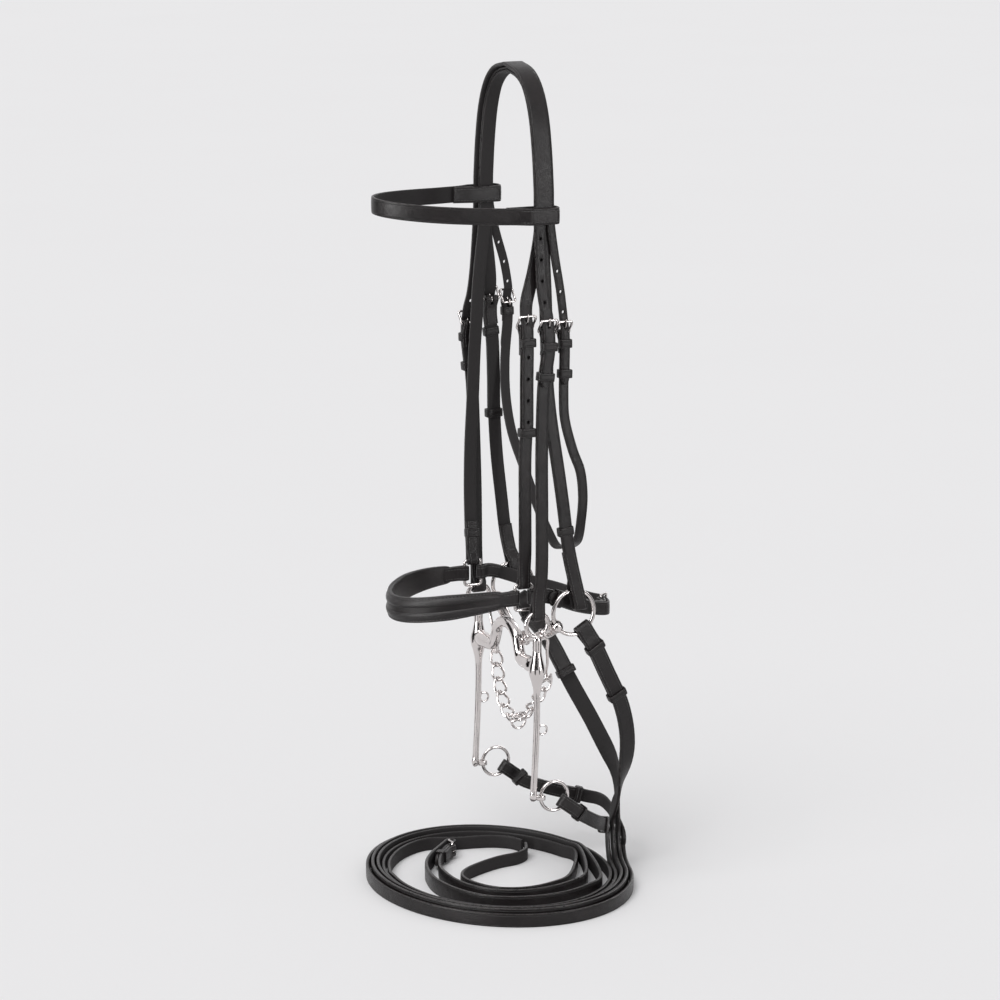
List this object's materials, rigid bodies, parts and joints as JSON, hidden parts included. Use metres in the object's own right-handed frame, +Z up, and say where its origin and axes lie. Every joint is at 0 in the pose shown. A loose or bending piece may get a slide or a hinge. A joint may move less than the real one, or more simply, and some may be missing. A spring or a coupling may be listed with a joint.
{
  "type": "double bridle",
  "caption": "Black leather double bridle with a ported curb bit, a loose ring bridoon, a curb chain and two pairs of reins laid in a coil.",
  "frame": {"origin": "middle of the headpiece's underside, where it lies on the horse's poll", "axes": "+Z up through the headpiece, +X to the horse's near (left) side, -Y to the horse's forehead and nose, so the browband and the noseband's front lie at -Y"},
  "size_m": [0.2957, 0.2631, 0.7893],
  "materials": {
    "black_leather": "satin",
    "polished_steel": "polished"
  },
  "bodies": {
    "headstall": {"headpiece": "black_leather", "bridoon_headstrap": "black_leather", "noseband_headstrap": "black_leather", "browband": "black_leather", "bridoon_cheek_far": "black_leather", "noseband_cheek_near": "black_leather", "curb_cheek_near": "black_leather", "curb_cheek_far": "black_leather", "throat_lash": "black_leather", "noseband_front": "black_leather", "noseband_tab": "black_leather", "noseband_rear_strap": "black_leather", "curb_runner_near": "black_leather", "curb_runner_far": "black_leather", "throat_runner_near": "black_leather", "noseband_cheek_runner": "black_leather", "bridoon_runner": "black_leather", "bridoon_rein_near": "black_leather", "bridoon_rein_far": "black_leather", "curb_rein_near": "black_leather", "curb_rein_far": "black_leather", "curb_buckle_near": "polished_steel", "curb_buckle_near_tongue": "polished_steel", "curb_buckle_far": "polished_steel", "curb_buckle_far_tongue": "polished_steel", "throat_buckle_near": "polished_steel", "throat_buckle_near_tongue": "polished_steel", "throat_buckle_far": "polished_steel", "throat_buckle_far_tongue": "polished_steel", "bridoon_buckle": "polished_steel", "bridoon_buckle_tongue": "polished_steel", "noseband_cheek_buckle": "polished_steel", "noseband_cheek_buckle_tongue": "polished_steel", "noseband_buckle": "polished_steel", "noseband_buckle_tongue": "polished_steel", "rein_buckle": "polished_steel", "rein_buckle_tongue": "polished_steel", "noseband_ring_near": "polished_steel", "noseband_ring_far": "polished_steel"},
    "curb": {"curb_bit": "polished_steel"},
    "curb_ring_near": {"curb_rein_ring_near": "polished_steel"},
    "curb_ring_far": {"curb_rein_ring_far": "polished_steel"},
    "curb_chain": {"curb_hook_near": "polished_steel", "curb_hook_far": "polished_steel", "chain_link_01": "polished_steel", "chain_link_02": "polished_steel", "chain_link_03": "polished_steel", "chain_link_04": "polished_steel", "chain_link_05": "polished_steel", "chain_link_middle": "polished_steel", "chain_link_07": "polished_steel", "chain_link_08": "polished_steel", "chain_link_09": "polished_steel", "chain_link_10": "polished_steel", "chain_link_11": "polished_steel"},
    "fly_ring": {"fly_ring": "polished_steel"},
    "bridoon_ring_near": {"bridoon_ring_near": "polished_steel"},
    "bridoon_ring_far": {"bridoon_ring_far": "polished_steel"},
    "bridoon_mouthpiece": {"bridoon_arm_near": "polished_steel", "bridoon_arm_far": "polished_steel"}
  },
  "joints": [
    {"name": "curb_turn", "type": "hinge", "parent": "headstall", "child": "curb", "pos_m": [0, -0.006, -0.51], "axis": [1, 0, 0], "range_deg": [-30, 10], "deforming": ["curb_rein_near", "curb_rein_far"]},
    {"name": "curb_ring_near_spin", "type": "hinge", "parent": "curb", "child": "curb_ring_near", "pos_m": [0.0665, 0.012, -0.678], "axis": [1, 0, 0], "continuous": true, "deforming": ["curb_rein_near"]},
    {"name": "curb_ring_far_spin", "type": "hinge", "parent": "curb", "child": "curb_ring_far", "pos_m": [-0.0665, 0.012, -0.678], "axis": [1, 0, 0], "continuous": true, "deforming": ["curb_rein_far"]},
    {"name": "chain_swing", "type": "hinge", "parent": "curb", "child": "curb_chain", "pos_m": [0, -0.006, -0.51], "axis": [1, 0, 0], "range_deg": [-8, 10]},
    {"name": "fly_ring_swing", "type": "hinge", "parent": "curb_chain", "child": "fly_ring", "pos_m": [0, 0.0056, -0.61596], "axis": [1, 0, 0], "range_deg": [-12, 30]},
    {"name": "bridoon_ring_near_spin", "type": "hinge", "parent": "headstall", "child": "bridoon_ring_near", "pos_m": [0.068, 0.031, -0.5015], "axis": [1, 0, 0], "continuous": true, "deforming": ["bridoon_rein_near"]},
    {"name": "bridoon_ring_far_spin", "type": "hinge", "parent": "headstall", "child": "bridoon_ring_far", "pos_m": [-0.068, 0.031, -0.5015], "axis": [1, 0, 0], "continuous": true, "deforming": ["bridoon_rein_far"]},
    {"name": "bridoon_slide", "type": "hinge", "parent": "headstall", "child": "bridoon_mouthpiece", "pos_m": [0, 0.031, -0.5015], "axis": [1, 0, 0], "range_deg": [0, 12]}
  ]
}
